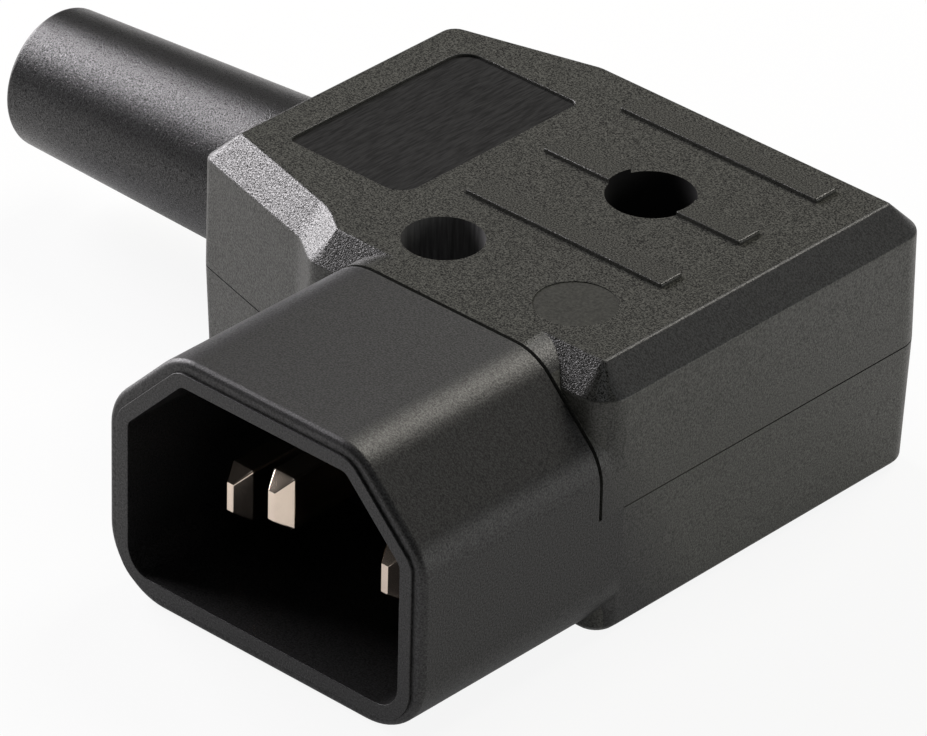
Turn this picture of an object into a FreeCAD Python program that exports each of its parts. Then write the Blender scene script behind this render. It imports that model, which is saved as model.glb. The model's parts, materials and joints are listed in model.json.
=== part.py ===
# Right-angle mains inlet plug: a moulded base with the coupler shroud, a screwed-on cover,
# three flat pins with screw terminals, a cable clamp and a soft strain relief boot.
# Frame: origin at the centre of the coupler opening in the rim plane, +Y into the plug,
# +Z up through the cover, the cable leaves towards -X. All sizes in millimetres.
import FreeCAD, Part
import math
import os

Vector = FreeCAD.Vector
ALONG_X = Vector(1, 0, 0)
ALONG_Y = Vector(0, 1, 0)
UP = Vector(0, 0, 1)

# Coupler opening and its shroud
opening_width = 24.5
opening_height = 16.3
opening_chamfer = 4.9
opening_chamfer_radius = 0.8
opening_floor_radius = 2.0
recess_depth = 16.5
shroud_wall = 2.0
shroud_chamfer_radius = 4.2
shroud_floor_radius = 5.0
rim_lip_width = 1.05
rim_step = 0.2
rim_chamfer = 0.3

# Housing block, seen from above
shroud_length = 17.25
block_length = 32.85
arm_reach = 27.35
arm_axis_depth = 34.45
arm_half_width = 12.15
flank_angle = 15.0
nose_left_reach = 12.5
nose_angle = 35.0
nose_run = 2.475
edge_radius = 2.35
arm_edge_radius = 1.2
arm_back_edge_radius = 3.2
bend_radius = 4.0
smallest_radius = 0.25

# Housing heights and moulding details
parting_height = -0.2
top_bevel = 2.0
cover_draft = 0.5
base_draft = 2.4
foot_chamfer = 0.6
parting_break = 0.12
wall = 1.9
seam_gap = 0.2
spigot_clearance = 0.15
coupler_floor = 2.9
lip_thickness = 0.8
lip_height = 1.0
lip_clearance = 0.1

# Cover top: label recess, grip bars, cored hole, disc mark and screw well
label_left = 22.45
label_width = 10.65
label_length = 17.6
label_centre_depth = 34.45
label_sink = 0.2
label_radius = 1.6
label_tight_radius = 0.6
bar_left = 9.0
bar_right = 8.67
bar_depths = (28.81, 36.62, 44.45)
bar_rise = 0.3
bar_width = 2.1
core_offset = 5.94
core_depth_position = 23.41
core_radius = 2.86
core_depth = 3.9
core_wall = 1.0
disc_sink = 0.06
well_position = 37.49
well_radius = 3.15
well_depth = 7.9
well_wall = 1.7

# Contact pins and their screw terminals
pin_spacing = 14.0
pin_row_height = -2.1
earth_offset = 4.0
pin_width = 4.0
pin_thickness = 2.0
pin_edge_chamfer = 0.25
pin_tip_width = 2.2
pin_tip_thickness = 0.58
pin_tip_chamfer = 0.1
pin_tip_length = 1.2
live_tip_depth = 4.27
earth_tip_depth = 0.9
pin_tail = 4.4
pin_clearance = 0.05
terminal_width = 5.6
terminal_length = 8.2
terminal_height = 5.8
terminal_chamfer = 0.4
terminal_screw_setback = 6.0
wire_bore_radius = 1.5
wire_bore_depth = 3.4
terminal_screw_radius = 1.45
terminal_head_radius = 2.2
terminal_head_height = 1.3
terminal_head_gap = 0.3
screw_clearance = 0.05
slot_width = 0.7
slot_depth = 0.6
partition = 1.0
hold_down_gap = 0.2
hold_down_rib = 1.4

# Closing screw
screw_radius = 1.45
screw_length = 9.0
screw_head_radius = 2.8
screw_head_height = 2.0
screw_head_chamfer = 0.8
screw_passage_clearance = 0.2
screw_boss_wall = 2.4
cross_recess_width = 0.8
cross_recess_length = 3.4
cross_recess_depth = 1.1

# Cable clamp
clamp_reach = 17.5
clamp_width = 6.0
clamp_thickness = 2.2
clamp_wall_gap = 0.62
clamp_post_radius = 2.6
clamp_seat_height = 1.0
clamp_end = 2.8
clamp_arch = 2.2
clamp_screw_radius = 1.2
clamp_screw_length = 9.0
clamp_head_radius = 2.2
clamp_head_height = 1.6
saddle_thickness = 2.0

# Strain relief boot
cable_radius = 3.3
cable_clearance = 0.2
boot_tail = 26.4
boot_root_radius = 6.3
boot_end_radius = 5.28
boot_end_rounding = 0.8
boot_end_flats = 3
boot_droop = 1.5
boot_fit = 0.25
boot_flange_radius = 7.6
boot_flange_thickness = 1.9
boot_flange_clearance = 0.3
boot_rib_thickness = 1.2

# Values that follow from the sizes above
half_opening = opening_width / 2
opening_top = opening_height / 2
block_right = half_opening + shroud_wall
block_front = shroud_length
block_back = block_front + block_length
cover_top = opening_top + shroud_wall
base_bottom = -cover_top
ceiling = cover_top - wall
chamber_floor = base_bottom + wall
bevel_start = cover_top - top_bevel
coupler_back = recess_depth + coupler_floor
block_size = 2 * (arm_reach + block_back)
core_floor = cover_top - core_depth
well_floor = cover_top - well_depth
clamp_bore_radius = cable_radius + cable_clearance
pin_places = {
    "line": (-pin_spacing / 2, pin_row_height, live_tip_depth),
    "neutral": (pin_spacing / 2, pin_row_height, live_tip_depth),
    "earth": (0.0, pin_row_height + earth_offset, earth_tip_depth),
}


# Shared helpers


def box(x0, x1, y0, y1, z0, z1):
    """Upright block between two opposite corners."""
    return Part.makeBox(x1 - x0, y1 - y0, z1 - z0, Vector(x0, y0, z0))


def cylinder(radius, start, axis, length):
    """Round bar that starts at a point and runs along an axis."""
    return Part.makeCylinder(radius, length, start, axis)


def flat_face(points):
    """Flat face inside straight edges from corner to corner."""
    return Part.Face(Part.makePolygon(points + points[:1]))


def rounded_wire(corners, radii):
    """Closed flat outline with an arc of its own radius at every corner."""
    stretches = []
    for index, (corner, radius) in enumerate(zip(corners, radii)):
        back = Vector(corners[index - 1] - corner).normalize()
        ahead = Vector(corners[(index + 1) % len(corners)] - corner).normalize()
        half_angle = back.getAngle(ahead) / 2
        reach = radius / math.tan(half_angle)
        inward = Vector(back + ahead).normalize()
        middle = corner + inward * (radius / math.sin(half_angle) - radius)
        stretches.append((corner + back * reach, middle, corner + ahead * reach))
    edges = []
    for index, (start, middle, end) in enumerate(stretches):
        edges.append(Part.Edge(Part.LineSegment(stretches[index - 1][2], start)))
        edges.append(Part.Edge(Part.Arc(start, middle, end)))
    return Part.Wire(edges)


def inset_outline(corners, radii, depth):
    """Plan outline with every side moved inwards, its round corners kept concentric."""
    moved = []
    new_radii = []
    for index, corner in enumerate(corners):
        arriving = Vector(corner - corners[index - 1]).normalize()
        leaving = Vector(corners[(index + 1) % len(corners)] - corner).normalize()
        turn = arriving.cross(leaving).z
        normals = UP.cross(arriving) + UP.cross(leaving)
        moved.append(corner + normals * (depth / (1 + arriving.dot(leaving))))
        change = -depth if turn > 0 else depth
        new_radii.append(max(radii[index] + change, smallest_radius))
    return moved, new_radii


# Plan outline of the housing block


def block_outline():
    """Corners and edge radii of the block at its parting plane, anticlockwise from the nose."""
    slope = math.tan(math.radians(flank_angle))
    back_bend_x = -arm_reach + (block_back - arm_axis_depth - arm_half_width) / slope
    nose_rise = nose_run * math.tan(math.radians(nose_angle))
    corners = [
        Vector(-nose_left_reach, block_front, 0),
        Vector(block_right, block_front, 0),
        Vector(block_right, block_back, 0),
        Vector(back_bend_x, block_back, 0),
        Vector(-arm_reach, arm_axis_depth + arm_half_width, 0),
        Vector(-arm_reach, arm_axis_depth - arm_half_width, 0),
        Vector(-nose_left_reach - nose_run, block_front + nose_rise, 0),
    ]
    radii = [
        edge_radius,
        edge_radius,
        edge_radius,
        bend_radius,
        arm_back_edge_radius,
        arm_edge_radius,
        bend_radius,
    ]
    return corners, radii


def plan_section(height, depth):
    """Wire of the block outline at a height, inset by a depth."""
    corners, radii = inset_outline(*block_outline(), depth)
    wire = rounded_wire(corners, radii)
    wire.translate(UP * height)
    return wire


def stacked(sections):
    """Solid through plan sections given as pairs of height and inset."""
    wires = [plan_section(height, depth) for height, depth in sections]
    return Part.makeLoft(wires, True, True)


def plan_ring(outer_inset, inner_inset, low, high):
    """Upright wall that follows the block outline between two insets."""
    outer = stacked([(low, outer_inset), (high, outer_inset)])
    return outer.cut(stacked([(low, inner_inset), (high, inner_inset)]))


def draft_inset(height):
    """How far the drafted walls have drawn in at a height above or below the parting plane."""
    draft = cover_draft if height > parting_height else base_draft
    return abs(height - parting_height) * math.tan(math.radians(draft))


# Coupler profile, seen from the front


def coupler_wire(margin, chamfer_radius, floor_radius, depth):
    """Opening outline grown by a margin, with the two chamfers on the earth side."""
    side = half_opening + margin
    top = opening_top + margin
    chamfer = opening_chamfer + margin * (2 - math.sqrt(2))
    corners = [
        Vector(-side, depth, -top),
        Vector(side, depth, -top),
        Vector(side, depth, top - chamfer),
        Vector(side - chamfer, depth, top),
        Vector(-side + chamfer, depth, top),
        Vector(-side, depth, top - chamfer),
    ]
    radii = [floor_radius] * 2 + [chamfer_radius] * 4
    return rounded_wire(corners, radii)


def coupler_prism(margin, chamfer_radius, floor_radius, start, end):
    """Bar with the coupler's outline between two depths."""
    wire = coupler_wire(margin, chamfer_radius, floor_radius, start)
    return Part.Face(wire).extrude(ALONG_Y * (end - start))


def shroud_prism(start, end):
    return coupler_prism(shroud_wall, shroud_chamfer_radius, shroud_floor_radius, start, end)


def spigot_prism(gap, start, end):
    """Plug behind the recess floor, over which the cover's front arch sits."""
    margin = shroud_wall - wall - gap
    return coupler_prism(margin, opening_chamfer_radius, opening_floor_radius, start, end)


def slab(low, high):
    """Wide plate between two heights, for keeping one side of a shape."""
    return box(-block_size, block_size, -block_size, block_size, low, high)


def above_parting(shape):
    return shape.common(slab(parting_height, block_size))


def below_parting(shape):
    return shape.common(slab(-block_size, parting_height))


# Features that both shells share


def boot_axis_point(x):
    return Vector(x, arm_axis_depth, parting_height)


def boot_passage():
    """Round opening in the arm's end wall for the boot's collar."""
    start = boot_axis_point(-arm_reach - wall)
    return cylinder(boot_root_radius + boot_fit, start, ALONG_X, 2.5 * wall)


flange_start = -arm_reach + wall + boot_flange_clearance
flange_end = flange_start + boot_flange_thickness
boot_rib_start = flange_end + boot_flange_clearance


def boot_rib():
    """Inner wall that traps the boot's flange, with a hole for the cable."""
    reach = arm_half_width
    rib = box(
        boot_rib_start,
        boot_rib_start + boot_rib_thickness,
        arm_axis_depth - reach,
        arm_axis_depth + reach,
        chamber_floor,
        ceiling,
    )
    passage = cylinder(clamp_bore_radius, boot_axis_point(boot_rib_start), ALONG_X, boot_rib_thickness)
    return rib.cut(passage)


def depth_on(start, end, x):
    """Depth of the straight outline edge between two corners where it passes a place along X."""
    return start.y + (end.y - start.y) * (x - start.x) / (end.x - start.x)


def clamp_post_offset():
    """How far the clamp posts stand from the cable's axis, clear of the arm's side walls."""
    corners, _ = block_outline()
    back_bend, arm_back, arm_front, nose_end = corners[3:]
    rooms = []
    for side in (-1, 1):
        x = -clamp_reach + side * clamp_width / 2
        rooms.append(arm_axis_depth - depth_on(arm_front, nose_end, x))
        rooms.append(min(depth_on(arm_back, back_bend, x), block_back) - arm_axis_depth)
    upright_wall = wall / math.cos(math.radians(flank_angle))
    return min(rooms) - upright_wall - clamp_wall_gap - clamp_end


def clamp_screw_points(height):
    """The two clamp screw axes at a height."""
    half = clamp_post_offset()
    return [Vector(-clamp_reach, arm_axis_depth + side * half, height) for side in (-1, 1)]


def lip_ring(grow, height):
    """Locating lip behind the coupler, or the rebate for it when grown by a clearance."""
    ring = plan_ring(wall - lip_thickness - grow, wall, parting_height, parting_height + height)
    front = box(-block_size, block_size, 0, coupler_back + wall, -block_size, block_size)
    keep_clear = cylinder(boot_flange_radius + wall, boot_axis_point(-arm_reach), ALONG_X, 3 * wall)
    return ring.cut(front).cut(keep_clear)


# Cover shell


def label_recess():
    """Shallow bare panel in the cover's top."""
    low_y = label_centre_depth - label_length / 2
    high_y = label_centre_depth + label_length / 2
    corners = [
        Vector(-label_left, low_y, cover_top - label_sink),
        Vector(-label_left + label_width, low_y, cover_top - label_sink),
        Vector(-label_left + label_width, high_y, cover_top - label_sink),
        Vector(-label_left, high_y, cover_top - label_sink),
    ]
    wire = rounded_wire(corners, [label_tight_radius, label_radius] * 2)
    return Part.Face(wire).extrude(UP * top_bevel)


def grip_bar(depth):
    """Low raised bar across the top."""
    return box(-bar_left, bar_right, depth, depth + bar_width, cover_top, cover_top + bar_rise)


def hold_down_ribs():
    """Ribs under the ceiling that keep the terminals on their seats."""
    ribs = []
    for x, z, _ in pin_places.values():
        half = terminal_width / 2 - hold_down_gap
        low = z + terminal_height / 2 + hold_down_gap
        start = coupler_back + hold_down_gap
        ribs.append(box(x - half, x + half, start, start + hold_down_rib, low, ceiling + wall / 2))
    return ribs


def cover_shell():
    top_inset = draft_inset(bevel_start) + top_bevel
    outer = stacked([
        (parting_height, parting_break),
        (parting_height + parting_break, draft_inset(parting_height + parting_break)),
        (bevel_start, draft_inset(bevel_start)),
        (cover_top, top_inset),
    ])
    neck = above_parting(shroud_prism(block_front, coupler_back))
    chamber = stacked([(parting_height, wall), (ceiling, wall)])
    shell = outer.fuse(neck).cut(chamber)
    shell = shell.cut(spigot_prism(0, block_front - wall, coupler_back + spigot_clearance))

    core_axis = Vector(-core_offset, core_depth_position, core_floor)
    core_height = ceiling - core_floor + core_wall + wall / 2
    core_tube = cylinder(core_radius + core_wall, core_axis - UP * core_wall, UP, core_height)
    well_axis = Vector(0, well_position, parting_height)
    well_tube = cylinder(well_radius + well_wall, well_axis, UP, ceiling - parting_height + wall / 2)
    additions = [core_tube, well_tube, above_parting(boot_rib())]
    additions += hold_down_ribs()
    additions += [grip_bar(depth) for depth in bar_depths]
    shell = shell.fuse(additions)

    disc_floor = Vector(core_offset, core_depth_position, cover_top - disc_sink)
    cuts = [
        label_recess(),
        boot_passage(),
        lip_ring(lip_clearance, lip_height + lip_clearance),
        cylinder(core_radius, core_axis, UP, core_depth + top_bevel),
        cylinder(core_radius, disc_floor, UP, top_bevel),
        cylinder(well_radius, Vector(0, well_position, well_floor), UP, well_depth + top_bevel),
        cylinder(screw_radius + screw_passage_clearance, well_axis, UP, well_depth),
    ]
    return shell.cut(cuts).removeSplitter()


# Base shell with the coupler shroud


def shroud():
    """Outer coupler wall: full length below the parting plane, up to the seam above it."""
    body = shroud_prism(rim_step, coupler_back)
    front_edges = [edge for edge in body.Edges if edge.BoundBox.YMax < rim_step + 1e-6]
    body = body.makeChamfer(rim_chamfer, front_edges)
    seam = block_front - seam_gap
    behind_seam = box(-block_right, block_right, seam, block_back, parting_height, block_back)
    body = body.cut(behind_seam)
    lip_radius = opening_chamfer_radius + rim_lip_width
    lip_floor_radius = opening_floor_radius + rim_lip_width
    lip = coupler_prism(rim_lip_width, lip_radius, lip_floor_radius, 0, 2 * rim_step)
    return body.fuse([lip, spigot_prism(spigot_clearance, recess_depth - wall, coupler_back)])


def pin_slot(x, z):
    half_width = pin_width / 2 + pin_clearance
    half_thickness = pin_thickness / 2 + pin_clearance
    return box(
        x - half_thickness,
        x + half_thickness,
        recess_depth - wall,
        coupler_back + wall,
        z - half_width,
        z + half_width,
    )


def terminal_seats():
    """Pedestals under the terminal blocks and the partitions between them."""
    seats = []
    end = coupler_back + terminal_length
    seat_half = (pin_spacing / 2 - partition) / 2
    for x, z, _ in pin_places.values():
        top = z - terminal_height / 2
        seats.append(box(x - seat_half, x + seat_half, coupler_back, end, chamber_floor, top))
    for side in (-1, 1):
        middle = side * pin_spacing / 4
        half = partition / 2
        seats.append(box(middle - half, middle + half, coupler_back, end, chamber_floor, parting_height))
    return seats


def clamp_seat():
    """Two posts for the clamp screws and the saddle that the cable lies on."""
    height = clamp_seat_height - chamber_floor
    feet = clamp_screw_points(chamber_floor)
    posts = [cylinder(clamp_post_radius, foot, UP, height) for foot in feet]
    saddle = box(
        -clamp_reach - saddle_thickness / 2,
        -clamp_reach + saddle_thickness / 2,
        arm_axis_depth - clamp_post_offset(),
        arm_axis_depth + clamp_post_offset(),
        chamber_floor,
        parting_height,
    )
    hollow_start = boot_axis_point(-clamp_reach - saddle_thickness)
    hollow = cylinder(clamp_bore_radius, hollow_start, ALONG_X, 2 * saddle_thickness)
    return posts + [saddle.cut(hollow)]


def base_shell():
    foot_inset = draft_inset(base_bottom)
    outer = stacked([
        (base_bottom, foot_inset),
        (parting_height - parting_break, draft_inset(parting_height - parting_break)),
        (parting_height, parting_break),
    ])
    foot_edges = [edge for edge in outer.Edges if edge.BoundBox.ZMax < base_bottom + 1e-6]
    outer = outer.makeChamfer(foot_chamfer, foot_edges)
    chamber = stacked([(chamber_floor, wall + draft_inset(chamber_floor)), (parting_height, wall)])
    shell = outer.cut(chamber)

    boss_axis = Vector(0, well_position, chamber_floor)
    boss = cylinder(screw_radius + screw_boss_wall, boss_axis, UP, parting_height - chamber_floor)
    additions = [shroud(), boss, below_parting(boot_rib()), lip_ring(0, lip_height)]
    additions += terminal_seats()
    additions += clamp_seat()
    shell = shell.fuse(additions)

    recess = coupler_prism(0, opening_chamfer_radius, opening_floor_radius, -wall, recess_depth)
    pilot_height = parting_height - chamber_floor
    cuts = [
        recess,
        boot_passage(),
        cylinder(screw_radius + screw_clearance, boss_axis, UP, pilot_height),
    ]
    cuts += [pin_slot(x, z) for x, z, _ in pin_places.values()]
    pilot = clamp_screw_radius + screw_clearance
    cuts += [cylinder(pilot, point, UP, 2 * pilot_height) for point in clamp_screw_points(chamber_floor)]
    return shell.cut(cuts).removeSplitter()


# Contacts


def pin_section(x, z, depth, thickness, width, chamfer):
    """Corners of a pin's chamfered outline at a depth."""
    half_t = thickness / 2
    half_w = width / 2
    quarter = [(half_t, half_w - chamfer), (half_t - chamfer, half_w)]
    spots = quarter + [(-a, b) for a, b in reversed(quarter)]
    spots += [(-a, -b) for a, b in quarter] + [(a, -b) for a, b in reversed(quarter)]
    return [Vector(x + a, depth, z + b) for a, b in spots]


def pin(x, z, tip_depth):
    """Flat blade with a tapered tip and a tail that seats in its terminal."""
    blade_start = tip_depth + pin_tip_length
    blade_end = coupler_back + pin_tail
    sections = [
        pin_section(x, z, tip_depth, pin_tip_thickness, pin_tip_width, pin_tip_chamfer),
        pin_section(x, z, blade_start, pin_thickness, pin_width, pin_edge_chamfer),
        pin_section(x, z, blade_end, pin_thickness, pin_width, pin_edge_chamfer),
    ]
    faces = [flat_face(sections[0]), flat_face(sections[-1])]
    for near, far in zip(sections, sections[1:]):
        for index in range(len(near)):
            faces.append(flat_face([near[index - 1], near[index], far[index], far[index - 1]]))
    return Part.makeSolid(Part.makeShell(faces))


def terminal(x, z):
    """Brass block: the pin's tail in front, the wire bore behind, the clamp screw from above."""
    half = terminal_width / 2
    low = z - terminal_height / 2
    high = z + terminal_height / 2
    end = coupler_back + terminal_length
    block = box(x - half, x + half, coupler_back, end, low, high)
    upright = [edge for edge in block.Edges if edge.BoundBox.ZLength > terminal_height / 2]
    block = block.makeChamfer(terminal_chamfer, upright)
    half_t = pin_thickness / 2 + pin_clearance
    half_w = pin_width / 2 + pin_clearance
    tail_end = coupler_back + pin_tail + pin_clearance
    tail_slot = box(x - half_t, x + half_t, coupler_back, tail_end, z - half_w, z + half_w)
    wire_bore = cylinder(wire_bore_radius, Vector(x, end - wire_bore_depth, z), ALONG_Y, wire_bore_depth)
    screw_hole = cylinder(
        terminal_screw_radius + screw_clearance,
        Vector(x, coupler_back + terminal_screw_setback, z),
        UP,
        terminal_height,
    )
    return block.cut([tail_slot, wire_bore, screw_hole])


def slotted_head(centre, radius, height):
    """Cheese head with a straight driver slot."""
    head = cylinder(radius, centre, UP, height)
    slot = box(
        centre.x - radius,
        centre.x + radius,
        centre.y - slot_width / 2,
        centre.y + slot_width / 2,
        centre.z + height - slot_depth,
        centre.z + height,
    )
    return head.cut(slot)


def terminal_screw(x, z):
    head_seat = z + terminal_height / 2 + terminal_head_gap
    centre = Vector(x, coupler_back + terminal_screw_setback, head_seat)
    shank = cylinder(terminal_screw_radius, Vector(centre.x, centre.y, z), UP, head_seat - z)
    return shank.fuse(slotted_head(centre, terminal_head_radius, terminal_head_height)).removeSplitter()


# Fasteners, clamp and boot


def housing_screw():
    """Closing screw whose pan head sits on the floor of the cover's well."""
    seat = Vector(0, well_position, well_floor)
    head = cylinder(screw_head_radius, seat, UP, screw_head_height)
    rim = [edge for edge in head.Edges if edge.BoundBox.ZMin > well_floor + screw_head_height / 2]
    rim = [edge for edge in rim if edge.Closed]
    head = head.makeChamfer(screw_head_chamfer, rim)
    half_length = cross_recess_length / 2
    half_width = cross_recess_width / 2
    top = well_floor + screw_head_height
    arms = [
        box(-half_length, half_length, well_position - half_width, well_position + half_width,
            top - cross_recess_depth, top),
        box(-half_width, half_width, well_position - half_length, well_position + half_length,
            top - cross_recess_depth, top),
    ]
    shank = cylinder(screw_radius, seat - UP * screw_length, UP, screw_length)
    return head.cut(arms).fuse(shank).removeSplitter()


def cable_clamp():
    """Bar with a round arch over the cable and a screw hole at each end."""
    half_width = clamp_width / 2
    half_length = clamp_post_offset() + clamp_end
    bar = box(
        -clamp_reach - half_width,
        -clamp_reach + half_width,
        arm_axis_depth - half_length,
        arm_axis_depth + half_length,
        clamp_seat_height,
        clamp_seat_height + clamp_thickness,
    )
    start = boot_axis_point(-clamp_reach - half_width)
    arch = cylinder(clamp_bore_radius + clamp_arch, start, ALONG_X, clamp_width)
    clamp = bar.fuse(arch.common(slab(clamp_seat_height, block_size)))
    holes = [cylinder(clamp_bore_radius, start, ALONG_X, clamp_width)]
    radius = clamp_screw_radius + screw_clearance
    seats = clamp_screw_points(clamp_seat_height)
    holes += [cylinder(radius, seat, UP, 2 * clamp_thickness) for seat in seats]
    return clamp.cut(holes).removeSplitter()


def cable_clamp_screw(point):
    """Screw whose head sits on the clamp bar above a point of its seat."""
    head_seat = point + UP * clamp_thickness
    shank = cylinder(clamp_screw_radius, head_seat - UP * clamp_screw_length, UP, clamp_screw_length)
    return shank.fuse(slotted_head(head_seat, clamp_head_radius, clamp_head_height)).removeSplitter()


def strain_relief_boot():
    """Tapered soft sleeve, turned in one piece with the flange that the shells trap."""
    def profile_point(x, radius):
        return Vector(x, arm_axis_depth + radius, parting_height)

    tail_end = -arm_reach - boot_tail
    profile = [profile_point(tail_end, cable_radius)]
    for step in range(boot_end_flats + 1):
        angle = math.radians(90) * step / boot_end_flats
        x = tail_end + boot_end_rounding * (1 - math.cos(angle))
        profile.append(profile_point(x, boot_end_radius - boot_end_rounding * (1 - math.sin(angle))))
    profile += [
        profile_point(-arm_reach, boot_root_radius),
        profile_point(flange_start, boot_root_radius),
        profile_point(flange_start, boot_flange_radius),
        profile_point(flange_end, boot_flange_radius),
        profile_point(flange_end, cable_radius),
    ]
    boot = flat_face(profile).revolve(boot_axis_point(0), ALONG_X, 360)
    boot.rotate(boot_axis_point((flange_start + flange_end) / 2), ALONG_Y, -boot_droop)
    return boot


# Build and export


def main():
    nodes = {
        "base_shell": base_shell(),
        "cover_shell": cover_shell(),
        "strain_relief_boot": strain_relief_boot(),
        "housing_screw": housing_screw(),
        "cable_clamp": cable_clamp(),
    }
    for name, (x, z, tip_depth) in pin_places.items():
        nodes[name + "_pin"] = pin(x, z, tip_depth)
        nodes[name + "_terminal"] = terminal(x, z)
        nodes[name + "_terminal_screw"] = terminal_screw(x, z)
    for name, point in zip(("front", "rear"), clamp_screw_points(clamp_seat_height)):
        nodes["cable_clamp_screw_" + name] = cable_clamp_screw(point)
    os.makedirs("parts", exist_ok=True)
    for name, shape in nodes.items():
        shape.exportStep("parts/" + name + ".step")
        print(name, len(shape.Solids), shape.isValid(), round(shape.Volume, 1))


main()
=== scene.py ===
import json
import math

import bmesh
import bpy
from bpy.props import FloatProperty, FloatVectorProperty, IntProperty, PointerProperty
from mathutils import Matrix, Vector


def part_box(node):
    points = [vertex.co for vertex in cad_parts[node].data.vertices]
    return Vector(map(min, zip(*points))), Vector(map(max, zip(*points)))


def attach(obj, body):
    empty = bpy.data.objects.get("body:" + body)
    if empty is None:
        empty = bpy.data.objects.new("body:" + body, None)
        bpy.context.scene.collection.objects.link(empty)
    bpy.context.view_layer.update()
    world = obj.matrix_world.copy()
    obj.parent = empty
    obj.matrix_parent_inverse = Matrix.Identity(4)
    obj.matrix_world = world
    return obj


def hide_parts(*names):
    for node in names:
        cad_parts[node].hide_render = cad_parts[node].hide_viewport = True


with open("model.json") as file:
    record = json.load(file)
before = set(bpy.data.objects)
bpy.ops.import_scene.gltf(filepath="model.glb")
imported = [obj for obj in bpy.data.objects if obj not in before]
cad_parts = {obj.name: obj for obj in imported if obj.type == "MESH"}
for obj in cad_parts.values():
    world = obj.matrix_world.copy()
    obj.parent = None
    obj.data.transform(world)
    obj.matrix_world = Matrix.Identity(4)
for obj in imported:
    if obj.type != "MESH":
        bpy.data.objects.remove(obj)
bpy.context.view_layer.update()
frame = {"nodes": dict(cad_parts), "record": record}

bl_info = {
    "name": "Angled power plug",
    "version": (1, 0, 0),
    "blender": (4, 5, 0),
    "location": "3D View > Sidebar > Plug",
    "description": "Finishes the pieces of a right-angle mains plug and sets its studio",
    "category": "Object",
}

MM = 0.001
BODY = "root"
COVER_LOW, COVER_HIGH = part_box("cover_shell")
BASE_LOW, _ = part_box("base_shell")
BLOCK_FRONT = COVER_LOW.y
PARTING = COVER_LOW.z
CORED_HOLE = Vector((-5.94 * MM, 23.41 * MM))
SCREW_WELL = Vector((0, 37.49 * MM))
MOUNTS = {mount["name"]: mount for mount in frame["record"]["mounts"]}

# Limits that pick out the edges and faces of the CAD shape
NEAR = 0.01 * MM
SHARP_ANGLE = math.radians(20)
FLAT_ANGLE = math.radians(0.4)
SMOOTH_ANGLE = math.radians(35)
MERGE_DISTANCE = 0.002 * MM
PANEL_RIGHT = -11 * MM
WELL_RIM = 3.2 * MM
HOLE_REACH = 3.3 * MM
GROOVE_REACH = 0.2 * MM
SEAM_GAP = 0.2 * MM
RIM_DEPTH = 0.55 * MM
LIP_DEPTH = 0.1 * MM
FOOT_HEIGHT = 0.65 * MM
FOOT_FRONT = 16 * MM

# Fine sizes of the boot and the pins
BOOT_SETBACK = 0.02 * MM
BOOT_BORE_CHAMFER = 0.25 * MM
BOOT_END_STEPS = 6
PIN_TIP_ROUNDING = 0.04 * MM

# Range that holds most values of a noise, and fades along Y in millimetres
NOISE_LOW, NOISE_HIGH = 0.3, 0.7
# The block's right side fades into the shroud's darker black, partly where its texture ends and partly as
# painted shade, darker towards the front and the bottom
SHROUD_FADE_AND_SHADE = {"start": BLOCK_FRONT / MM, "run": 6.0, "lean": 0.5}
# The painted shade in the parting groove on the right side fades out along Y towards the front
GROOVE_SHADE_FADE = {"start": 25.0, "run": 16.0, "lean": 0.0}

# Sizes of the stage, the floor in metres and the picture in millimetres
FLOOR_SIZE = 3
FLOOR_GAP = 0.02 * MM
LAMP_AIM = Vector((0, 30 * MM, 0))
PICTURE_WIDTH = 36


# Settings that a user would change


def length_setting(name, description, millimetres):
    return FloatProperty(
        name=name, description=description, default=millimetres * MM, unit="LENGTH", precision=5
    )


def colour_setting(name, description, colour):
    return FloatVectorProperty(
        name=name, description=description, subtype="COLOR", size=3, min=0, max=1, default=colour
    )


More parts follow.
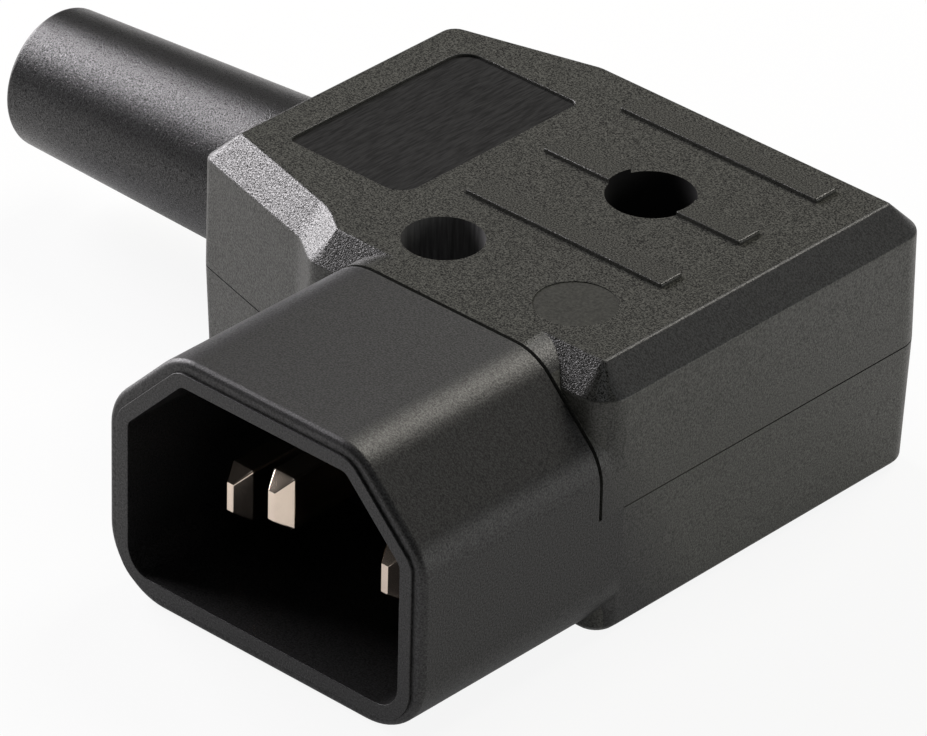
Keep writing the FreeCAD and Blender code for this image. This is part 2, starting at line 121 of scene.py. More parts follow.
class PlugShapeSettings(bpy.types.PropertyGroup):
    """Sizes of the finished pieces."""

    edge_rounding: length_setting("Edge rounding", "Radius on the bevel edges of the cover", 0.12)
    fine_rounding: length_setting(
        "Fine rounding",
        "Radius on the panel's edge, the fronts of the grip bars and the rim's lip",
        0.06,
    )
    bar_end_rounding: length_setting(
        "Bar end rounding", "Radius on the upper edges at the ends of the grip bars", 0.16
    )
    seam_opening: length_setting(
        "Seam opening", "How far the shroud's back edge stands off beyond the fitted gap", 0.1
    )
    groove_width: length_setting(
        "Groove width", "Width of the fine groove along the parting line", 0.1
    )
    foot_rounding: length_setting("Foot rounding", "Radius on the lower edges of the base", 0.16)
    rim_rounding: length_setting(
        "Rim rounding", "Radius on the outer edges of the coupler rim", 0.18
    )
    rounding_steps: IntProperty(
        name="Rounding steps",
        description="Facets across each rounded edge",
        default=3,
        min=1,
        max=6,
    )
    bar_rise: length_setting("Bar rise", "Height of the grip bars above the cover's top", 0.3)
    top_bevel: length_setting("Top bevel", "Height of the slanted band around the cover's top", 2.0)
    panel_sink: length_setting("Panel sink", "Depth of the bare panel in the cover's top", 0.2)
    disc_sink: length_setting("Disc sink", "Depth of the round mark in the cover's top", 0.06)
    boot_root_radius: length_setting(
        "Boot root radius", "Radius of the boot where it meets the housing", 6.3
    )
    boot_end_radius: length_setting(
        "Boot end radius", "Radius of the boot before its rounded end", 5.28
    )
    boot_end_rounding: length_setting("Boot end rounding", "Radius of the boot's rounded end", 0.45)
    boot_tail: length_setting("Boot tail", "Length of the boot outside the housing", 26.4)
    boot_flange_radius: length_setting(
        "Boot flange radius", "Radius of the flange that the shells trap", 7.6
    )
    boot_flange_thickness: length_setting(
        "Boot flange thickness", "Thickness of the flange that the shells trap", 1.9
    )
    pin_tip_thickness: length_setting("Pin tip thickness", "Thickness of a pin's flat tip", 0.58)
    pin_tip_width: length_setting("Pin tip width", "Width of a pin's flat tip", 2.2)
    pin_tip_length: length_setting("Pin tip length", "Length of a pin's tapered tip", 1.2)
    pin_edge_rounding: length_setting("Pin edge rounding", "Radius along a pin's blade", 0.22)
    boot_facets: IntProperty(
        name="Boot facets",
        description="Facets around the boot",
        default=128,
        min=24,
        max=256,
    )


class PlugFinishSettings(bpy.types.PropertyGroup):
    """Colours and grain of the finishes."""

    housing_colour: colour_setting(
        "Housing", "Black moulded plastic of the shroud", (0.014, 0.014, 0.014)
    )
    block_colour: colour_setting(
        "Block",
        "Black moulded plastic of the textured block, a touch lighter where it is rough",
        (0.050, 0.0505, 0.0445),
    )
    # The right bevel's darker, bluer black is painted shade on the slanted band along the right side, which
    # is moulded with the block
    shaded_bevel_colour: colour_setting(
        "Right bevel",
        "Black moulded plastic of the slanted band along the right side",
        (0.0235, 0.0245, 0.0255),
    )
    boot_colour: colour_setting("Boot", "Black soft plastic of the boot", (0.013, 0.013, 0.013))
    contact_colour: colour_setting("Contacts", "Plated metal of the pins", (0.86, 0.725, 0.605))
    brass_colour: colour_setting("Brass", "Bare brass of the terminal blocks", (0.62, 0.43, 0.16))
    steel_colour: colour_setting("Steel", "Plated steel of the screws", (0.55, 0.56, 0.57))
    spark_grain: FloatProperty(
        name="Spark grain",
        description="Grains per millimetre of the eroded top",
        default=9.0,
    )
    satin_grain: FloatProperty(
        name="Satin grain",
        description="Grains per millimetre of the satin sides",
        default=8.0,
    )


class PlugStageSettings(bpy.types.PropertyGroup):
    """Studio around the plug."""

    floor_colour: colour_setting("Floor", "Colour of the floor", (0.7, 0.7, 0.7))
    floor_glow: FloatProperty(
        name="Floor glow",
        description="Share of plain white that the camera sees in the floor",
        subtype="FACTOR",
        default=0.9,
        min=0,
        max=1,
    )
    mirrored_glow: FloatProperty(
        name="Mirrored glow",
        description="Share of plain white that glossy surfaces mirror from the floor",
        subtype="FACTOR",
        default=0.3,
        min=0,
        max=1,
    )
    sky_level: FloatProperty(
        name="Sky level",
        description="Strength of the even light from all round",
        default=0.03,
    )
    mirrored_sky: FloatProperty(
        name="Mirrored sky",
        description="Strength of white that glossy surfaces mirror from all round, beyond the even light",
        default=0.03,
    )
    camera_azimuth: FloatProperty(
        name="Camera azimuth",
        description="Turn of the camera from the front towards the right side",
        subtype="ANGLE",
        default=math.radians(42.179),
    )
    camera_elevation: FloatProperty(
        name="Camera elevation",
        description="Height of the camera above the horizon",
        subtype="ANGLE",
        default=math.radians(31.551),
    )
    camera_roll: FloatProperty(
        name="Camera roll",
        description="Tilt of the picture",
        subtype="ANGLE",
        default=math.radians(1.394),
    )
    camera_distance: FloatProperty(
        name="Camera distance",
        description="Distance from the camera to the point it aims at",
        default=520 * MM,
        unit="LENGTH",
    )
    camera_aim: FloatVectorProperty(
        name="Camera aim",
        description="Point in the middle of the picture",
        subtype="TRANSLATION",
        size=3,
        default=(6.969 * MM, 11.468 * MM, 10.827 * MM),
    )
    camera_lens: FloatProperty(
        name="Camera lens",
        description="Focal length in millimetres on a 36 mm wide picture",
        default=312.46,
    )


# Shared steps for shaping a piece


def make_active(piece):
    bpy.ops.object.select_all(action="DESELECT")
    piece.select_set(True)
    bpy.context.view_layer.objects.active = piece


def copy_of_node(node_name, piece_name):
    """New piece with a merged copy of a CAD node's mesh, its flat faces whole."""
    mesh = frame["nodes"][node_name].data.copy()
    mesh.name = piece_name
    mesh.materials.clear()
    piece = bpy.data.objects.new(piece_name, mesh)
    bpy.context.scene.collection.objects.link(piece)
    make_active(piece)
    bpy.ops.mesh.customdata_custom_splitnormals_clear()
    bpy.ops.object.mode_set(mode="EDIT")
    bpy.ops.mesh.select_mode(type="EDGE")
    bpy.ops.mesh.select_all(action="SELECT")
    bpy.ops.mesh.remove_doubles(threshold=MERGE_DISTANCE)
    bpy.ops.mesh.select_all(action="SELECT")
    bpy.ops.mesh.dissolve_limited(angle_limit=FLAT_ANGLE)
    bpy.ops.object.mode_set(mode="OBJECT")
    return piece


def round_edges(piece, wanted, radius, steps):
    """Bevels the sharp outward edges that a test picks out."""
    make_active(piece)
    bpy.ops.object.mode_set(mode="EDIT")
    bpy.ops.mesh.select_mode(type="EDGE")
    bpy.ops.mesh.select_all(action="DESELECT")
    mesh = bmesh.from_edit_mesh(piece.data)
    for edge in mesh.edges:
        sharp = edge.is_manifold and edge.calc_face_angle_signed() > SHARP_ANGLE
        edge.select_set(sharp and wanted(edge))
    bmesh.update_edit_mesh(piece.data)
    bpy.ops.mesh.bevel(offset=radius, segments=steps, profile=0.5, affect="EDGES", clamp_overlap=False)
    bpy.ops.object.mode_set(mode="OBJECT")


def paint_faces(piece, material, wanted):
    """Gives a finish to the faces that a test picks out."""
    piece.data.materials.append(material)
    slot = len(piece.data.materials) - 1
    for face in piece.data.polygons:
        if wanted(face):
            face.material_index = slot


def finish_piece(piece, slot, *nodes):
    """Smooths the shading and lets the piece stand for its CAD nodes."""
    make_active(piece)
    bpy.ops.object.shade_smooth_by_angle(angle=SMOOTH_ANGLE)
    bpy.ops.object.modifier_add(type="WEIGHTED_NORMAL")
    piece.modifiers[-1].keep_sharp = True
    bpy.ops.object.modifier_apply(modifier=piece.modifiers[-1].name)
    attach(piece, BODY)
    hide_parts(*nodes)


def edge_heights(edge):
    return [vertex.co.z for vertex in edge.verts]


def at_height(edge, height):
    return all(abs(z - height) < NEAR for z in edge_heights(edge))


def borders_wall(edge):
    """True where one of the two faces stands upright."""
    return any(abs(face.normal.z) < 0.1 for face in edge.link_faces)


def borders_slant(edge):
    """True where one of the two faces leans at about 45 degrees."""
    return any(0.6 < face.normal.z < 0.8 for face in edge.link_faces)


def in_parting_groove(normal, middle):
    """True on the small slanted faces where the two shells meet."""
    return abs(middle.z - PARTING) < GROOVE_REACH and 0.3 < abs(normal.z) < 0.95


def narrow_groove(piece, width):
    """Draws the outer edge of the parting groove towards the parting plane."""
    make_active(piece)
    bpy.ops.object.mode_set(mode="EDIT")
    bpy.ops.mesh.select_mode(type="VERT")
    bpy.ops.mesh.select_all(action="DESELECT")
    mesh = bmesh.from_edit_mesh(piece.data)
    outer = set()
    for face in mesh.faces:
        if in_parting_groove(face.normal, face.calc_center_median()):
            outer.update(vertex for vertex in face.verts if abs(vertex.co.z - PARTING) > width / 2)
    for vertex in outer:
        vertex.select_set(True)
    mesh.select_flush_mode()
    height = max((vertex.co.z - PARTING for vertex in outer), key=abs)
    shift = math.copysign(width / 2, height) - height
    bmesh.update_edit_mesh(piece.data)
    bpy.ops.transform.translate(value=(0, 0, shift))
    bpy.ops.object.mode_set(mode="OBJECT")


def on_right_side(face):
    """True on the upright right side, where the block runs on into the shroud."""
    return face.normal.x > 0.8


# Finishes


class Finish:
    """Node material on object coordinates in millimetres, built up step by step."""

    def __init__(self, name):
        self.material = bpy.data.materials.new(name)
        self.material.use_nodes = True
        self.tree = self.material.node_tree
        self.shader = self.tree.nodes["Principled BSDF"]
        place = self.tree.nodes.new("ShaderNodeTexCoord")
        self.scaled = self.tree.nodes.new("ShaderNodeMapping")
        self.scaled.inputs["Scale"].default_value = (1 / MM,) * 3
        self.link(place.outputs["Object"], self.scaled.inputs["Vector"])

    def link(self, source, target):
        self.tree.links.new(source, target)

    def stretched(self, scale):
        """Coordinates in millimetres, stretched along the axes."""
        mapping = self.tree.nodes.new("ShaderNodeMapping")
        mapping.inputs["Scale"].default_value = scale
        self.link(self.scaled.outputs["Vector"], mapping.inputs["Vector"])
        return mapping.outputs["Vector"]

    def noise(self, scale, detail=2.0, roughness=0.6, vector=None):
        texture = self.tree.nodes.new("ShaderNodeTexNoise")
        texture.inputs["Scale"].default_value = scale
        texture.inputs["Detail"].default_value = detail
        texture.inputs["Roughness"].default_value = roughness
        self.link(vector or self.scaled.outputs["Vector"], texture.inputs["Vector"])
        return texture.outputs["Fac"]

    def ranged(self, value, low, high, new_low, new_high):
        node = self.tree.nodes.new("ShaderNodeMapRange")
        node.inputs["From Min"].default_value = low
        node.inputs["From Max"].default_value = high
        node.inputs["To Min"].default_value = new_low
        node.inputs["To Max"].default_value = new_high
        self.link(value, node.inputs["Value"])
        return node.outputs["Result"]

    def spread(self, value, new_low, new_high):
        """Spreads most values of a noise over a new range."""
        return self.ranged(value, NOISE_LOW, NOISE_HIGH, new_low, new_high)

    def fade(self, start, run, lean):
        """Value that grows from 0 to 1 along Y, later where the surface is lower."""
        axes = self.tree.nodes.new("ShaderNodeSeparateXYZ")
        self.link(self.scaled.outputs["Vector"], axes.inputs["Vector"])
        along = self.tree.nodes.new("ShaderNodeMath")
        along.operation = "MULTIPLY_ADD"
        along.inputs[1].default_value = lean
        self.link(axes.outputs["Z"], along.inputs[0])
        self.link(axes.outputs["Y"], along.inputs[2])
        return self.ranged(along.outputs["Value"], start, start + run, 0, 1)

    def blend(self, value, first, second):
        """Colour between two colours along a value from 0 to 1."""
        node = self.tree.nodes.new("ShaderNodeMix")
        node.data_type = "RGBA"
        for socket, colour in zip((node.inputs[6], node.inputs[7]), (first, second)):
            if isinstance(colour, tuple):
                socket.default_value = (*colour, 1)
            else:
                self.link(colour, socket)
        self.link(value, node.inputs["Factor"])
        return node.outputs[2]

    def skin(self, colour):
        self.link(colour, self.shader.inputs["Base Color"])

    def colour(self, value, first, second):
        self.skin(self.blend(value, first, second))

    def roughness(self, value):
        self.link(value, self.shader.inputs["Roughness"])

    def shine(self, value):
        """Share of mirrored light, low in the pits of a grain and high on its peaks."""
        self.link(value, self.shader.inputs["Specular IOR Level"])

    def even_shine(self, level):
        """Same share of mirrored light all over."""
        self.shader.inputs["Specular IOR Level"].default_value = level

    def bump(self, height, strength, distance):
        node = self.tree.nodes.new("ShaderNodeBump")
        node.inputs["Strength"].default_value = strength
        node.inputs["Distance"].default_value = distance
        self.link(height, node.inputs["Height"])
        self.link(node.outputs["Normal"], self.shader.inputs["Normal"])


def scaled_colour(colour, factor):
    return tuple(min(channel * factor, 1) for channel in colour)


def spark_eroded(finish_settings):
    """Coarse eroded grain of the cover's bevels, whose peaks are bright."""
    finish = Finish("spark_eroded_black")
    grain = finish.noise(finish_settings.spark_grain, detail=2.0, roughness=0.5)
    peaks = finish.ranged(grain, 0.32, 0.68, 0.04, 1.0)
    base = finish_settings.block_colour
    finish.colour(peaks, scaled_colour(base, 0.09), scaled_colour(base, 0.72))
    finish.shine(peaks)
    finish.roughness(finish.spread(grain, 0.36, 0.26))
    finish.bump(grain, 1.0, 0.03 * MM)
    return finish.material


def matt_eroded(finish_settings):
    """Coarse eroded grain of the cover's flat top, without gloss."""
    finish = Finish("matt_eroded_black")
    grain = finish.noise(finish_settings.spark_grain, detail=3.0, roughness=0.7)
    peaks = finish.ranged(grain, 0.39, 0.63, 0.0, 1.0)
    base = finish_settings.block_colour
    finish.colour(peaks, scaled_colour(base, 0.03), scaled_colour(base, 1.78))
    finish.even_shine(0.1)
    finish.roughness(finish.spread(grain, 0.8, 0.7))
    finish.bump(grain, 1.0, 0.03 * MM)
    return finish.material


def satin(name, colour, contrast, sparkle, finish_settings, fades=False):
    """Fine satin grain of the sides and the shroud, which can fade out where the shroud begins, partly where
    the block's texture ends and partly as painted shade, darker towards the front and the bottom.
    """
    finish = Finish(name)
    grain = finish.noise(finish_settings.satin_grain, detail=1.0)
    peaks = finish.spread(grain, 0.0, 1.0)
    skin = finish.blend(peaks, scaled_colour(colour, 1 - contrast), scaled_colour(colour, 1 + contrast))
    if fades:
        # Painted shade: towards the front and lower down, the block's colour gives way to the shroud's darker
        # black
        shroud_colour = scaled_colour(finish_settings.housing_colour, 1)
        skin = finish.blend(finish.fade(**SHROUD_FADE_AND_SHADE), shroud_colour, skin)
    finish.skin(skin)
    finish.shine(finish.spread(grain, 0.45 - sparkle, 0.45 + sparkle))
    finish.roughness(finish.spread(grain, 0.48, 0.4))
    finish.bump(grain, 1.0, 0.02 * MM)
    return finish.material


def dull_and_shade(name, finish_settings, fades=False):
    """Dull skin of the screw well, and painted shade in the parting groove, which can fade out towards the
    shroud.
    """
    finish = Finish(name)
    grain = finish.noise(finish_settings.satin_grain)
    base = finish_settings.housing_colour
    skin = finish.blend(grain, scaled_colour(base, 0.6), scaled_colour(base, 1.4))
    if fades:
        # Towards the front the groove is painted lighter than the block, which takes away its shade there
        block_colour = scaled_colour(finish_settings.block_colour, 1.6)
        skin = finish.blend(finish.fade(**GROOVE_SHADE_FADE), block_colour, skin)
    finish.skin(skin)
    finish.even_shine(0.12)
    finish.roughness(finish.spread(grain, 0.7, 0.8))
    return finish.material


def drawn_smooth(finish_settings):
    """Smooth skin of the bare panel, with fine lines along Y from the mould's cutter."""
    finish = Finish("smooth_black")
    lines = finish.noise(7.0, vector=finish.stretched((1, 0.1, 1)))
    lines = finish.ranged(lines, 0.35, 0.65, 0, 1)
    base = finish_settings.housing_colour
    finish.colour(lines, scaled_colour(base, 0.25), scaled_colour(base, 1.45))
    finish.even_shine(0.1)
    finish.roughness(finish.ranged(lines, 0, 1, 0.6, 0.48))
    finish.bump(lines, 0.3, 0.01 * MM)
    return finish.material


def rubbed(finish_settings):
    """Matt smooth skin of the round mark."""
    finish = Finish("rubbed_black")
    grain = finish.noise(5.0, detail=3.0)
    base = finish_settings.block_colour
    peaks = finish.spread(grain, 0, 1)
    finish.colour(peaks, scaled_colour(base, 0.42), scaled_colour(base, 1.0))
    finish.even_shine(0.12)
    finish.roughness(finish.spread(grain, 0.68, 0.74))
    finish.bump(grain, 0.5, 0.02 * MM)
    return finish.material


def streaked_and_lit(finish_settings):
    """Walls of the cored hole, drawn along Z when the mould opens, in a grey that is painted light for the
    light that falls into the hole.
    """
    finish = Finish("drawn_lit_black")
    lines = finish.noise(5.0, vector=finish.stretched((1, 1, 0.06)))
    base = finish_settings.housing_colour
    ridges = finish.ranged(lines, 0.35, 0.65, 0, 1)
    # Painted light: the walls are grey, several times the housing's black, for light that falls into the hole
    finish.colour(ridges, scaled_colour(base, 4.5), scaled_colour(base, 8.5))
    finish.roughness(finish.spread(lines, 0.4, 0.55))
    finish.bump(lines, 0.6, 0.04 * MM)
    return finish.material


def soft_boot(finish_settings):
    """Fine speckled soft plastic of the boot."""
    finish = Finish("soft_black")
    grain = finish.noise(10.0, detail=1.0)
    cloud = finish.noise(0.3)
    base = finish_settings.boot_colour
    finish.colour(cloud, scaled_colour(base, 0.85), scaled_colour(base, 1.2))
    finish.shine(finish.spread(grain, 0.05, 0.85))
    finish.roughness(finish.spread(grain, 0.36, 0.27))
    finish.bump(grain, 1.0, 0.025 * MM)
    return finish.material


def brushed_metal(name, colour, roughness, direction):
    """Metal with fine lines along a direction."""
    finish = Finish(name)
    lines = finish.noise(14.0, vector=finish.stretched(direction))
    cloud = finish.noise(0.8)
    finish.shader.inputs["Metallic"].default_value = 1.0
    finish.colour(cloud, scaled_colour(colour, 0.88), scaled_colour(colour, 1.06))
    finish.roughness(finish.spread(lines, roughness, roughness + 0.1))
    finish.bump(lines, 0.1, 0.002 * MM)
    return finish.material


def moulded_fibre(finish_settings):
    """Dull black plastic of the cable clamp."""
    finish = Finish("clamp_black")
    grain = finish.noise(6.0)
    base = scaled_colour(finish_settings.housing_colour, 1.4)
    finish.colour(grain, scaled_colour(base, 0.8), base)
    finish.roughness(finish.spread(grain, 0.5, 0.65))
    finish.bump(grain, 0.3, 0.02 * MM)
    return finish.material


def dress_node(name, material):
    """Gives a CAD node that keeps its own mesh its finish."""
    node = frame["nodes"][name]
    node.data.materials.clear()
    node.data.materials.append(material)


# Pieces


class PLUG_OT_cover_shell(bpy.types.Operator):
    """Rounds the cover's edges and gives its top, sides, panel and holes their finishes"""

    bl_idname = "plug.cover_shell"
    bl_label = "Cover shell"

    def execute(self, context):
        shape = context.scene.plug_shape
        finishes = context.scene.plug_finish
        top = COVER_HIGH.z - shape.bar_rise
        bevel_start = top - shape.top_bevel
        cover = copy_of_node("cover_shell", "cover_upper_half")
        round_edges(
            cover,
            lambda edge: borders_slant(edge) and (at_height(edge, top) or at_height(edge, bevel_start)),
            shape.edge_rounding,
            shape.rounding_steps,
        )
        round_edges(
            cover,
            lambda edge: self.on_bar(edge, top) and self.at_bar_end(edge),
            shape.bar_end_rounding,
            shape.rounding_steps,
        )
        round_edges(
            cover,
            lambda edge: self.on_bar(edge, top) and not self.at_bar_end(edge),
            shape.fine_rounding,
            shape.rounding_steps,
        )
        round_edges(
            cover,
            lambda edge: at_height(edge, top) and borders_wall(edge) and self.at_panel(edge),
            shape.fine_rounding,
            shape.rounding_steps,
        )
        narrow_groove(cover, shape.groove_width)
        block = satin("block_satin_black", finishes.block_colour, 0.4, 0.2, finishes)
        faded_and_shaded = satin("faded_shaded_satin_black", finishes.block_colour, 0.4, 0.2, finishes, fades=True)
        # Right bevel satin: darker than the block as painted shade
        fine = satin("shaded_bevel_satin_black", finishes.shaded_bevel_colour, 0.4, 0.2, finishes)
        paint_faces(cover, block, lambda face: True)
        # Right side: the block's satin fading into the shroud's black, with painted shade towards the front
        # and the bottom
        paint_faces(cover, faded_and_shaded, on_right_side)
        paint_faces(
            cover,
            spark_eroded(finishes),
            lambda face: face.center.z > bevel_start and face.normal.z > 0.3,
        )
        paint_faces(
            cover,
            matt_eroded(finishes),
            lambda face: face.center.z > top - NEAR and face.normal.z > 0.99,
        )
        # Painted shade on the slanted band along the right side
        paint_faces(
            cover,
            fine,
            lambda face: bevel_start < face.center.z < top and self.on_right_bevel(face),
        )
        paint_faces(
            cover,
            drawn_smooth(finishes),
            lambda face: face.normal.z > 0.9 and abs(face.center.z - top + shape.panel_sink) < NEAR,
        )
        paint_faces(
            cover,
            rubbed(finishes),
            lambda face: face.normal.z > 0.9 and abs(face.center.z - top + shape.disc_sink) < NEAR,
        )
        # Painted light on the walls of the cored hole, with real draw streaks
        paint_faces(
            cover,
            streaked_and_lit(finishes),
            lambda face: self.in_hole(face, CORED_HOLE),
        )
        # Painted shade in the parting groove: the shroud's darker black with a dull skin; the screw well's
        # walls get the same dull black
        paint_faces(
            cover,
            dull_and_shade("dull_and_groove_shade_black", finishes),
            lambda face: in_parting_groove(face.normal, face.center) or self.in_hole(face, SCREW_WELL),
        )
        # On the right side the groove's painted shade fades out towards the front
        paint_faces(
            cover,
            dull_and_shade("fading_groove_shade_black", finishes, fades=True),
            lambda face: in_parting_groove(face.normal, face.center) and face.normal.x > 0.3,
        )
        finish_piece(cover, "housing", "cover_shell")
        return {"FINISHED"}

    def at_panel(self, edge):
        """True at the bare panel, which lies left of the holes and bars."""
        return all(vertex.co.x < PANEL_RIGHT for vertex in edge.verts)

    def on_bar(self, edge, top):
        """True on the outer edges of a grip bar, clear of the screw well's rim."""
        clear = any((vertex.co.xy - SCREW_WELL).length > WELL_RIM for vertex in edge.verts)
        return clear and max(edge_heights(edge)) > top + NEAR

    def at_bar_end(self, edge):
        """True on an edge that runs from front to back."""
        run = edge.verts[0].co - edge.verts[1].co
        return abs(run.y) > 0.9 * run.length

    def on_right_bevel(self, face):
        """True on the slanted band along the right side."""
        return face.normal.z > 0.3 and face.normal.x > 0.15 and face.normal.y > -0.3

    def in_hole(self, face, axis):
        """True on an upright wall that looks inwards at a hole's axis."""
        out = face.center.xy - axis
        upright = face.center.z > 0 and abs(face.normal.z) < 0.1
        return upright and out.length < HOLE_REACH and out.dot(face.normal.xy) < 0


class PLUG_OT_base_shell(bpy.types.Operator):
    """Rounds the rim and foot of the base and gives it its satin finish"""

    bl_idname = "plug.base_shell"
    bl_label = "Base shell"

    def execute(self, context):
        shape = context.scene.plug_shape
        finishes = context.scene.plug_finish
        base = copy_of_node("base_shell", "base_lower_half")
        rim_end = BASE_LOW.y + RIM_DEPTH
        lip_end = BASE_LOW.y + LIP_DEPTH
        foot_end = BASE_LOW.z + FOOT_HEIGHT
        round_edges(
            base,
            lambda edge: all(lip_end < vertex.co.y < rim_end for vertex in edge.verts),
            shape.rim_rounding,
            shape.rounding_steps,
        )
        round_edges(
            base,
            lambda edge: all(vertex.co.y < lip_end for vertex in edge.verts),
            shape.fine_rounding,
            shape.rounding_steps,
        )
        round_edges(
            base,
            lambda edge: all(vertex.co.z < foot_end and vertex.co.y > FOOT_FRONT for vertex in edge.verts),
            shape.foot_rounding,
            shape.rounding_steps,
        )
        self.open_seam(base, shape.seam_opening)
        narrow_groove(base, shape.groove_width)
        shroud = satin("shroud_satin_black", finishes.housing_colour, 0.85, 0.12, finishes)
        paint_faces(base, shroud, lambda face: True)
        paint_faces(
            base,
            bpy.data.materials["block_satin_black"],
            lambda face: face.center.y > BLOCK_FRONT - NEAR,
        )
        # Right side: the block's satin fading into the shroud's black, with painted shade towards the front
        # and the bottom
        paint_faces(
            base,
            bpy.data.materials["faded_shaded_satin_black"],
            lambda face: face.center.y > BLOCK_FRONT - NEAR and on_right_side(face),
        )
        # Painted shade in the parting groove: the shroud's darker black with a dull skin
        paint_faces(
            base,
            bpy.data.materials["dull_and_groove_shade_black"],
            lambda face: in_parting_groove(face.normal, face.center),
        )
        # On the right side the groove's painted shade fades out towards the front
        paint_faces(
            base,
            bpy.data.materials["fading_groove_shade_black"],
            lambda face: in_parting_groove(face.normal, face.center) and face.normal.x > 0.3,
        )
        finish_piece(base, "housing", "base_shell")
        return {"FINISHED"}

    def open_seam(self, base, opening):
        """Draws back the shroud's rear edge, which meets the cover's neck above the parting plane."""
        make_active(base)
        bpy.ops.object.mode_set(mode="EDIT")
        bpy.ops.mesh.select_mode(type="VERT")
        bpy.ops.mesh.select_all(action="DESELECT")
        mesh = bmesh.from_edit_mesh(base.data)
        seam = BLOCK_FRONT - SEAM_GAP
        for vertex in mesh.verts:
            on_seam = abs(vertex.co.y - seam) < 2 * NEAR and vertex.co.z > PARTING - NEAR
            vertex.select_set(on_seam)
        mesh.select_flush_mode()
        bmesh.update_edit_mesh(base.data)
        bpy.ops.transform.translate(value=(0, -opening, 0))
        bpy.ops.object.mode_set(mode="OBJECT")


class PLUG_OT_strain_relief_boot(bpy.types.Operator):
    """Draws the tapered boot ring by ring along the cable's axis"""

    bl_idname = "plug.strain_relief_boot"
    bl_label = "Strain relief boot"

    def execute(self, context):
        shape = context.scene.plug_shape
        mount = MOUNTS["cable_bore"]
        inwards = -Vector(mount["axis"]).normalized()
        start = Vector(mount["pos_m"]) + inwards * BOOT_SETBACK
        outwards = Vector((0, 1, 0))
        places = [start + inwards * along + outwards * radius for along, radius in self.profile(shape, mount)]
        bpy.ops.object.select_all(action="DESELECT")
        bpy.ops.mesh.primitive_plane_add(size=MM, location=(0, 0, 0))
        boot = bpy.context.object
        boot.name = boot.data.name = "tapered_boot"
        bpy.ops.object.mode_set(mode="EDIT")
        bpy.ops.mesh.select_mode(type="VERT")
        bpy.ops.mesh.select_all(action="SELECT")
        bpy.ops.mesh.merge(type="CENTER")
        bpy.ops.transform.translate(value=places[0])
        for place, following in zip(places, places[1:]):
            bpy.ops.mesh.extrude_region_move(TRANSFORM_OT_translate={"value": following - place})
        bpy.ops.mesh.select_all(action="SELECT")
        bpy.ops.mesh.spin(steps=shape.boot_facets, angle=math.tau, center=start, axis=inwards)
        bpy.ops.mesh.select_all(action="SELECT")
        bpy.ops.mesh.remove_doubles(threshold=0.001 * MM)
        bpy.ops.mesh.normals_make_consistent(inside=False)
        bpy.ops.object.mode_set(mode="OBJECT")
        paint_faces(boot, soft_boot(context.scene.plug_finish), lambda face: True)
        finish_piece(boot, "boot", "strain_relief_boot")
        return {"FINISHED"}

    def profile(self, shape, mount):
        """Pairs of distance from the free end and radius, closed through the bore."""
        bore = mount["dims"]["r_mm"] * MM
        length = mount["dims"]["length_mm"] * MM - BOOT_SETBACK
        chamfer = BOOT_BORE_CHAMFER
        rounding = shape.boot_end_rounding
        points = [(length, bore), (chamfer, bore), (0, bore + chamfer)]
        for step in range(BOOT_END_STEPS + 1):
            angle = math.pi / 2 * step / BOOT_END_STEPS
            points.append((
                rounding * (1 - math.cos(angle)),
                shape.boot_end_radius - rounding * (1 - math.sin(angle)),
            ))
        flange = length - shape.boot_flange_thickness
        points += [
            (shape.boot_tail, shape.boot_root_radius),
            (flange, shape.boot_root_radius),
            (flange, shape.boot_flange_radius),
            (length, shape.boot_flange_radius),
            (length, bore),
        ]
        return points


